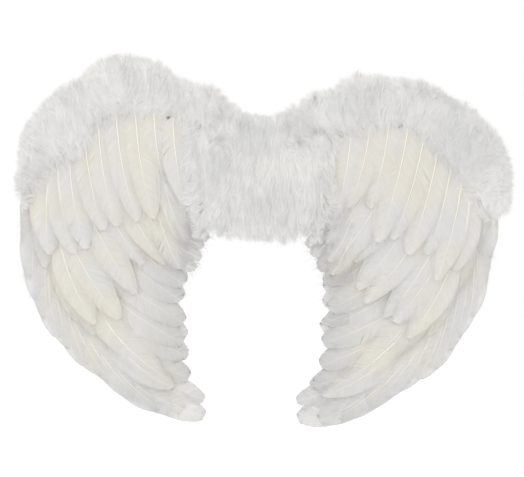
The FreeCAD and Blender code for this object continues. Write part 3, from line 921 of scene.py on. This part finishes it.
def hills(spots, places):
    """The highest at each spot of some soft round hills, given as x, z, radius and height."""
    found = np.zeros(len(spots))
    for x, z, radius, height in places:
        away = np.linalg.norm(spots - np.array((x, z)), axis=-1)
        found = np.maximum(found, height * np.exp(-(away / radius) ** 2))
    return found


def painted_shade_of(spots, side):
    """How grey the down is: painted shade in small soft spots at the tufts, where the plumes part."""
    shade_spots = [(SIDES[side] * x * MM, z * MM, TUFT_RADIUS, TUFT_SHADE) for x, z in TUFTS.get(side, ())]
    shade_spots += [(x * MM, z * MM, CENTRE_TUFT_RADIUS, CENTRE_TUFT_SHADE) for x, z in CENTRE_TUFTS]
    return hills(spots, shade_spots)


def build_bed(bed, name, outline, side, body):
    """The matted core of the down, under the loose barbs."""
    low, high = corners_of(outline)
    low = np.floor(low / BED_STEP).astype(int) - 1
    high = np.ceil(high / BED_STEP).astype(int) + 1
    axes = (np.arange(low[i], high[i] + 1) * BED_STEP for i in (0, 1))
    grid = np.stack(np.meshgrid(*axes), axis=-1)
    spots = grid.reshape(-1, 2)
    middle = ((grid[1:, 1:] + grid[:-1, :-1]) / 2).reshape(-1, 2)
    keep = nearest_on(outline, middle)[1]
    keep &= bed.chart.read(bed.to_free, middle) > 10 * MM + bed.cloud(middle, 1) * 1.5 * MM
    keep &= bed.chart.read(bed.to_rim, middle) > 3 * MM
    points = np.stack((spots[:, 0], bed.surface(spots) + 1.0 * MM, spots[:, 1]), axis=-1)
    points = points.reshape(*grid.shape[:2], 3)
    rows = [np.stack((part[:, :-1], part[:, 1:]), axis=2) for part in (points[:-1], points[1:])]
    tile = np.stack(rows, axis=2).reshape(-1, 2, 2, 3)[keep]
    # Painted shade at the tufts.
    greys = painted_shade_of(tile[..., ::2].reshape(-1, 2), side).reshape(-1, 2, 2)
    sheaf = Sheaf()
    sheaf.add(tile, tile[..., ::2] * UV_PER_METRE, np.zeros(len(tile)), greys)
    mesh = sheaf.mesh(name)
    joined = bmesh.new()
    joined.from_mesh(mesh)
    bmesh.ops.remove_doubles(joined, verts=joined.verts, dist=0.05 * MM)
    joined.to_mesh(mesh)
    joined.free()
    return piece(name, mesh, body, "down_bed")


def add_barbs(sheaf, bed, spots, side, rng, barbs):
    """Fine barbs that lie on the bed in small locks, and stand out past its free rim as a fringe."""
    count = len(spots)
    heading, to_free, goes_out = bed.lay(spots, rng)
    lock = np.round((spots + bed.cloud(spots, 0)[:, None] * 1.5 * MM) / barbs.lock)
    share = np.sin(lock @ np.array((12.9898, 78.233))) * 43758.5453 % 1
    other = np.sin(lock @ np.array((39.346, 11.135))) * 24634.6345 % 1
    heading = turned(heading, (share - 0.5) * 0.5 + rng.normal(0, barbs.spread, count))
    length = barbs.longest * rng.uniform(0.55, 1.0, count) * (0.8 + 0.3 * other)
    spray = hills(spots / MM, SPRAYS)
    cap = to_free + (rng.normal(0.9, 1.2, count) + (other - 0.5) * 5.0 + spray) * MM
    length = np.where(goes_out, np.minimum(length, np.maximum(cap, 4 * MM)), length)[:, None, None]
    v = np.linspace(0, 1, BARB_ROWS)[None, :, None]
    run = spots[:, None] + heading[:, None] * length * v
    aim = lock * barbs.lock + heading * barbs.longest
    sideways = np.stack((-heading[:, 1], heading[:, 0]), axis=-1)[:, None]
    pull = ((aim[:, None] - run) * sideways).sum(-1, keepdims=True)
    bend = rng.normal(0, 0.10, (count, 1, 1)) * length * v ** 2
    line = run + sideways * (pull * barbs.gathered * v ** 1.5 + bend)
    v = v[..., 0]
    depth = bed.surface(line.reshape(-1, 2)).reshape(count, BARB_ROWS)
    depth = depth - rng.uniform(0.0, 1.7, (count, 1)) * MM
    depth = depth - rng.uniform(0.2, 1.1, (count, 1)) * MM * np.sin(math.pi * v * 0.8)
    points = np.stack((line[..., 0], depth, line[..., 1]), axis=-1)
    twist = rng.normal(0, 0.5, count)
    across = sideways[:, 0] * np.cos(twist)[:, None]
    flat = np.stack((across[:, 0], np.sin(twist), across[:, 1]), axis=-1)
    width = (0.11 + 0.09 * rng.random(count))[:, None] * MM * (1 - v * 0.75)
    # Painted shade at the tufts, and a random grey on each barb, strong in the fringe, where it paints the
    # shade between strands; it fades to half towards each barb's end.
    greys = np.maximum(painted_shade_of(spots, side), barbs.fleck * rng.random(count) ** 2)
    add_ribbons(sheaf, points, flat, width, share, greys[:, None] * (1 - 0.5 * v))


def build_down(bed, name, outline, side, body, replaces, seed, plumes=None):
    rng = np.random.default_rng(seed)
    sheaf = Sheaf()
    spots = jittered(outline, BARB_SPACING, rng)
    skirt = SKIRT
    if plumes is not None:
        spots = np.concatenate((spots, jittered(plumes, PLUME_SPACING, rng)))
        skirt = SKIRT * 0.4
    if side in SIDES and body:
        spots = np.concatenate((spots, bed.skirt(outline, skirt, rng)))
    to_free = bed.chart.read(bed.to_free, spots)
    deep = to_free > np.where(rng.random(len(spots)) < 0.6, 13, 5) * MM
    add_barbs(sheaf, bed, spots[deep], side, rng, DEEP_BARBS)
    in_fringe = (to_free < FRINGE) & (to_free > FRINGE_ROOTS)
    fringe = spots[in_fringe & (rng.random(len(spots)) < 0.8)]
    fringe = fringe + rng.uniform(-0.4, 0.4, fringe.shape) * MM
    add_barbs(sheaf, bed, fringe, side, rng, FRINGE_BARBS)
    core = build_bed(bed, name + "_bed", outline, side, body)
    return piece(name + "_barbs", sheaf, body, "down", replaces), core


# ---------------------------------------------------------------- elastic, felt and cloth

# The loop's centre line in Y and Z, with a bend radius at each corner, in mm: both ends lie on the board.
LOOP_ROUTE = (
    (-3.4, 44, 0), (-3.4, 68, 9), (38, 70, 26), (80, 32, 34), (88, -14, 34),
    (74, -54, 26), (34, -72, 24), (-3.4, -66, 9), (-3.4, -38, 0),
)
LOOP_X = 30.0
LOOP_HALF_WIDTH = 6.0
LOOP_THICKNESS = 1.2
LOOP_STEP = 1.6
LOOP_COLUMNS = 13
LOOP_ENDS = 20
LOOP_SMOOTHING = 60
SELVAGE = (5.2, 0.9)

# The pad in mm: half sizes, and how far in and how deep each ring of its section lies.
PAD_HALF = (20.0, 47.5)
PAD_CENTRE_Z = 2.5
PAD_CORNER = 9.0
PAD_PROFILE = (
    (6.0, -4.0), (0.25, -4.0), (0.05, -3.6), (0.0, -2.6), (0.0, -1.4), (0.2, -0.7), (0.7, -0.3), (1.6, -0.1),
    (3.0, 0.0), (5.0, 0.0), (7.5, 0.0), (10.0, 0.0), (12.5, 0.0), (15.0, 0.0), (17.5, 0.0), (19.6, 0.0),
)

CLOTH_BACK_Y = -4.0 * MM
LINING_THICKNESS = 0.5 * MM
LINING_RIPPLE = 0.5 * MM
LINING_CELL = 6 * MM
TAPE_THICKNESS = 0.3 * MM
TAPE_RIPPLE = 0.06 * MM
TAPE_FRAY = 0.15
TAPE_X = (38.0, 64.5)
TAPE_Z = (-54.0, 74.0)


def rounded_route(corners, step):
    """Evenly spaced points along straight runs joined by tangent arcs."""
    arc_points = 24
    points = [np.array(corners[0][:2], float)]
    for before, corner, after in zip(corners, corners[1:], corners[2:]):
        at = np.array(corner[:2], float)
        to_before = unit(np.array(before[:2]) - at)
        to_after = unit(np.array(after[:2]) - at)
        half = math.acos(float(np.clip(to_before @ to_after, -1, 1))) / 2
        reach = corner[2] / math.tan(half)
        centre = at + unit(to_before + to_after) * corner[2] / math.sin(half)
        start = at + to_before * reach - centre
        finish = at + to_after * reach - centre
        turn = math.atan2(start[0] * finish[1] - start[1] * finish[0], start @ finish)
        for angle in np.linspace(0, turn, arc_points):
            points.append(centre + turned(start[None], angle)[0])
    points.append(np.array(corners[-1][:2], float))
    points = np.array(points)
    along = np.concatenate(([0], np.cumsum(np.linalg.norm(np.diff(points, axis=0), axis=-1))))
    even = np.arange(0, along[-1], step)
    return np.stack([np.interp(even, along, points[:, i]) for i in (0, 1)], axis=-1)


def tube(rings, coordinates=None):
    """A sheaf of one closed tube, in metres from rings in mm, with a flat end on both sides."""
    ends = [np.broadcast_to(rings[i].mean(0), rings[i].shape) for i in (0, -1)]
    points = np.concatenate((ends[0][None], rings, ends[1][None])) * MM
    if coordinates is None:
        coordinates = points[..., ::2]
    sheaf = Sheaf()
    sheaf.add(points[None], coordinates[None], np.zeros(1), closed=True)
    return sheaf


def build_loop(side, seed):
    """An elastic band: slightly thicker at its two selvages, and slack enough to turn and wander a little."""
    rng = np.random.default_rng(seed)
    line = rounded_route(LOOP_ROUTE, LOOP_STEP)
    inner = slice(LOOP_ENDS, -LOOP_ENDS)
    for _ in range(LOOP_SMOOTHING):
        before, after = line[LOOP_ENDS - 1:-LOOP_ENDS - 1], line[LOOP_ENDS + 1:-LOOP_ENDS + 1]
        line[inner] = (before + 2 * line[inner] + after) / 4
    tangent = unit(np.gradient(line, axis=0))
    share = np.linspace(0, 1, len(line))
    free = limited((np.minimum(share, 1 - share) - 0.09) / 0.10)
    free = free * free * (3 - 2 * free)
    round_trip = 2 * math.pi * share
    turn = free * (0.16 * np.sin(round_trip + rng.uniform(0, 6)) + 0.08 * np.sin(3.5 * round_trip))
    wander = free * (1.1 * np.sin(round_trip + rng.uniform(0, 6)) + 0.4 * np.sin(9 * share + 1))
    half = LOOP_HALF_WIDTH
    thick = LOOP_THICKNESS / 2
    there = np.linspace(-half, half, LOOP_COLUMNS)
    xs = np.concatenate((there, there[::-1]))
    rib = np.where(np.abs(np.abs(xs) - SELVAGE[0]) < SELVAGE[1], 1.0, 0.82) * thick
    rib[np.abs(xs) == half] = thick * 0.35
    ys = rib * np.repeat((1.0, -1.0), LOOP_COLUMNS)
    normal = np.stack((-tangent[:, 1], tangent[:, 0]), axis=-1)
    across = xs[None] * np.cos(turn)[:, None] - ys[None] * np.sin(turn)[:, None]
    out = xs[None] * np.sin(turn)[:, None] + ys[None] * np.cos(turn)[:, None]
    x = SIDES[side] * LOOP_X + across + wander[:, None]
    yz = line[:, None] + normal[:, None] * out[..., None]
    rings = np.stack((x, yz[..., 0], yz[..., 1]), axis=-1)
    length = np.arange(len(rings) + 2) * LOOP_STEP
    coordinates = np.stack(np.broadcast_arrays(length[:, None], xs[None]), axis=-1) * MM
    band = tube(rings, coordinates)
    piece(side + "_shoulder_band", band, "centre", "elastic", [side + "_shoulder_loop"])


def build_pad(seed):
    """A pressed felt pad: a soft rounded edge, and a face that isn't quite flat."""
    rng = np.random.default_rng(seed)
    spots = []
    outward = []
    for quarter, signs in enumerate(((1, 1), (-1, 1), (-1, -1), (1, -1))):
        corner = np.array(signs) * (np.array(PAD_HALF) - PAD_CORNER)
        for angle in np.radians(np.linspace(0, 90, 12) + 90 * quarter):
            outward.append((math.cos(angle), math.sin(angle)))
            spots.append(corner + PAD_CORNER * np.array(outward[-1]))
    spots = np.array(spots)
    outward = np.array(outward)
    waves = rng.normal(0, 0.16, (8, 2))
    phases = rng.uniform(0, 6, 8)
    shallow = PAD_CORNER - 1
    rings = []
    for inset, y in PAD_PROFILE:
        ring = spots - outward * min(inset, shallow)
        ring = ring * (PAD_HALF[0] - max(inset, shallow)) / (PAD_HALF[0] - shallow)
        flat_share = limited((inset - 0.2) / 2)
        ripple = np.sin(ring @ waves.T + phases).sum(-1) * 0.06 * flat_share
        depth = y - 0.15 * flat_share + ripple * (y > -1)
        rings.append(np.stack((ring[:, 0], depth, ring[:, 1] + PAD_CENTRE_Z), axis=-1))
    made = piece("felt_pad", tube(np.array(rings)), "centre", "felt", ["back_pad"])


def chained(segments):
    """The segments of a closed outline, as one run of points in order."""
    after = {}
    for a, b in segments:
        for one, other in ((a, b), (b, a)):
            after.setdefault(tuple(np.round(one, 7)), []).append(tuple(np.round(other, 7)))
    start = next(iter(after))
    run = [start]
    last = None
    while True:
        here = run[-1]
        options = [p for p in after[here] if p != last]
        if not options or options[0] == start and len(run) > 2:
            return np.array(run)
        last = here
        run.append(options[0])


def cloth_plate(outline, thickness, cuts, ripple, rng):
    """A thin cloth cut to an outline in X and Z, with a soft ripple, as a closed mesh."""
    work = bmesh.new()
    work.faces.new([work.verts.new((x, CLOTH_BACK_Y, z)) for x, z in outline])
    for normal, places in (((1, 0, 0), cuts[0]), ((0, 0, 1), cuts[1])):
        for place in places:
            spot = tuple(place * c for c in normal)
            everything = list(work.verts) + list(work.edges) + list(work.faces)
            bmesh.ops.bisect_plane(work, geom=everything, plane_co=spot, plane_no=normal, dist=1e-7)
    area = sum(face.calc_area() for face in work.faces)
    waves = rng.normal(0, 70, (10, 2))
    phases = rng.uniform(0, 6, 10)
    for vert in work.verts:
        swell = np.sin(waves @ np.array((vert.co.x, vert.co.z)) + phases).sum() / 3
        vert.co.y += ripple * (0.5 + 0.5 * math.tanh(swell))
    bmesh.ops.recalc_face_normals(work, faces=work.faces)
    if sum(face.normal.y for face in work.faces) > 0:
        bmesh.ops.reverse_faces(work, faces=work.faces)
    bmesh.ops.solidify(work, geom=list(work.faces), thickness=-thickness)
    bmesh.ops.recalc_face_normals(work, faces=work.faces)
    layer = work.loops.layers.uv.new("along_across")
    for face in work.faces:
        for loop in face.loops:
            loop[layer].uv = (loop.vert.co.x, loop.vert.co.z)
    mesh = bpy.data.meshes.new("cloth")
    work.to_mesh(mesh)
    work.free()
    return mesh, area


def build_lining(side, seed):
    node = side + "_back_lining"
    outline = chained(front_outline(node))
    low, high = outline.min(0), outline.max(0)
    cuts = [np.arange(low[i] + LINING_CELL / 2, high[i], LINING_CELL) for i in (0, 1)]
    mesh, area = cloth_plate(outline, LINING_THICKNESS, cuts, LINING_RIPPLE, np.random.default_rng(seed))
    made = piece(side + "_lining_cloth", mesh, side + "_wing", "lining", [node])


def bend_between(made):
    """Bakes a piece's placement into its mesh."""
    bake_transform(made)


def build_tape(side, seed):
    """The cloth tape of a hinge: one strip in place of its two leaves."""
    sign = SIDES[side]
    x0, x1 = sorted(sign * x * MM for x in TAPE_X)
    z0, z1 = (z * MM for z in TAPE_Z)
    rng = np.random.default_rng(seed)
    side_z = np.arange(z0, z1, 2 * MM)
    outline = [(x0 + rng.uniform(-TAPE_FRAY, TAPE_FRAY) * MM, z) for z in side_z]
    outline += [(x1 + rng.uniform(-TAPE_FRAY, TAPE_FRAY) * MM, z) for z in side_z[::-1]]
    cuts = (np.arange(x0 + 1 * MM, x1, 1 * MM), np.arange(z0 + 5 * MM, z1, 8 * MM))
    mesh, area = cloth_plate(np.array(outline), TAPE_THICKNESS, cuts, TAPE_RIPPLE, rng)
    leaves = [side + "_hinge_tape_inner", side + "_hinge_tape_outer"]
    made = piece(side + "_hinge_tape", mesh, None, "cloth_tape", leaves)
    bend_between(made)


# ---------------------------------------------------------------- card, wire and metal

def dress_cad_nodes():
    """The rigid CAD pieces stay as they are, and take a finished material each."""
    slots = {entry["node"]: entry["material_slot"] for entry in frame["record"]["subparts"]}
    for name, made in NODES.items():
        material = MATERIALS["tape_on_wire" if name.endswith("wire_tabs") else slots[name]]
        if made.material_slots:
            for material_slot in made.material_slots:
                material_slot.material = material
        else:
            made.data.materials.append(material)


# ---------------------------------------------------------------- stage, light and camera

def build_stage():
    pale = Surface("pale_floor", 0.95, specular=0.0)
    cloud = pale.noise(pale.place(), 2.0)
    pale.give("Base Color", pale.ramp(cloud, (0.3, (0.93, 0.93, 0.93)), (0.7, (0.95, 0.95, 0.95))))
    pale.give("Emission Color", WHITE)
    pale.give("Emission Strength", 0.2)
    place = (0, 0, CAD_BOX[0][2] - FLOOR_DROP)
    bpy.ops.mesh.primitive_circle_add(vertices=96, radius=FLOOR_RADIUS, fill_type="NGON", location=place)
    floor = bpy.context.object
    floor.name = "floor"
    floor.data.materials.append(pale.material)


def area_light(name, location, size, power):
    light = bpy.data.lights.new(name, "AREA")
    light.shape = "DISK"
    light.size = size
    light.energy = power
    made = bpy.data.objects.new(name, light)
    made.location = location
    made.rotation_euler = (Vector(LIGHT_TARGET) - Vector(location)).to_track_quat("-Z", "Y").to_euler()
    bpy.context.scene.collection.objects.link(made)


def build_light():
    world = bpy.data.worlds.new("studio")
    world.use_nodes = True
    background = world.node_tree.nodes["Background"]
    background.inputs["Color"].default_value = (*WHITE, 1)
    background.inputs["Strength"].default_value = 1.0
    bpy.context.scene.world = world
    bpy.context.scene.view_settings.view_transform = "Standard"
    area_light("key", (-0.9, -1.6, 1.7), size=0.7, power=8.0)
    area_light("back_fill", (0.8, 1.8, 1.2), size=1.2, power=1.5)


def build_camera():
    data = bpy.data.cameras.new("camera")
    data.sensor_width = SENSOR_WIDTH_MM
    data.lens = SENSOR_WIDTH_MM * VIEW_DISTANCE / VIEW_WIDTH
    camera = bpy.data.objects.new("camera", data)
    x, z = VIEW_CENTRE
    camera.location = (x, -VIEW_DISTANCE, z)
    camera.rotation_euler = (math.pi / 2, -math.radians(VIEW_ROLL_DEG), 0)
    bpy.context.scene.collection.objects.link(camera)
    bpy.context.scene.camera = camera


build_camera()
build_light()
build_stage()
dress_cad_nodes()
feather_points = []
for number, wing in enumerate(SIDES):
    for order, row_name in enumerate(FEATHER_ROWS):
        build_feathers(wing, row_name, 100 * number + order, feather_points)

down_bed = DownBed(np.random.default_rng(7), np.concatenate(feather_points))
for number, (area, edge) in enumerate(down_bed.outlines.items()):
    of_side = area.split("_")[0]
    seed = 300 + number
    if area in CENTRE_DOWN:
        build_down(down_bed, area, edge, "centre", "centre", [area], seed)
    elif area.endswith("hinge_down"):
        for made in build_down(down_bed, area, edge, of_side, None, [], seed):
            bend_between(made)
    else:
        plumes = None
        if area.endswith("root_down"):
            plumes = loop_of([(SIDES[of_side] * x, z) for x, z in ROOT_PLUMES])
        build_down(down_bed, area, edge, of_side, of_side + "_wing", [area], seed, plumes)

build_pad(401)
for number, wing in enumerate(SIDES):
    build_loop(wing, 410 + number)
    build_lining(wing, 420 + number)
    build_tape(wing, 430 + number)
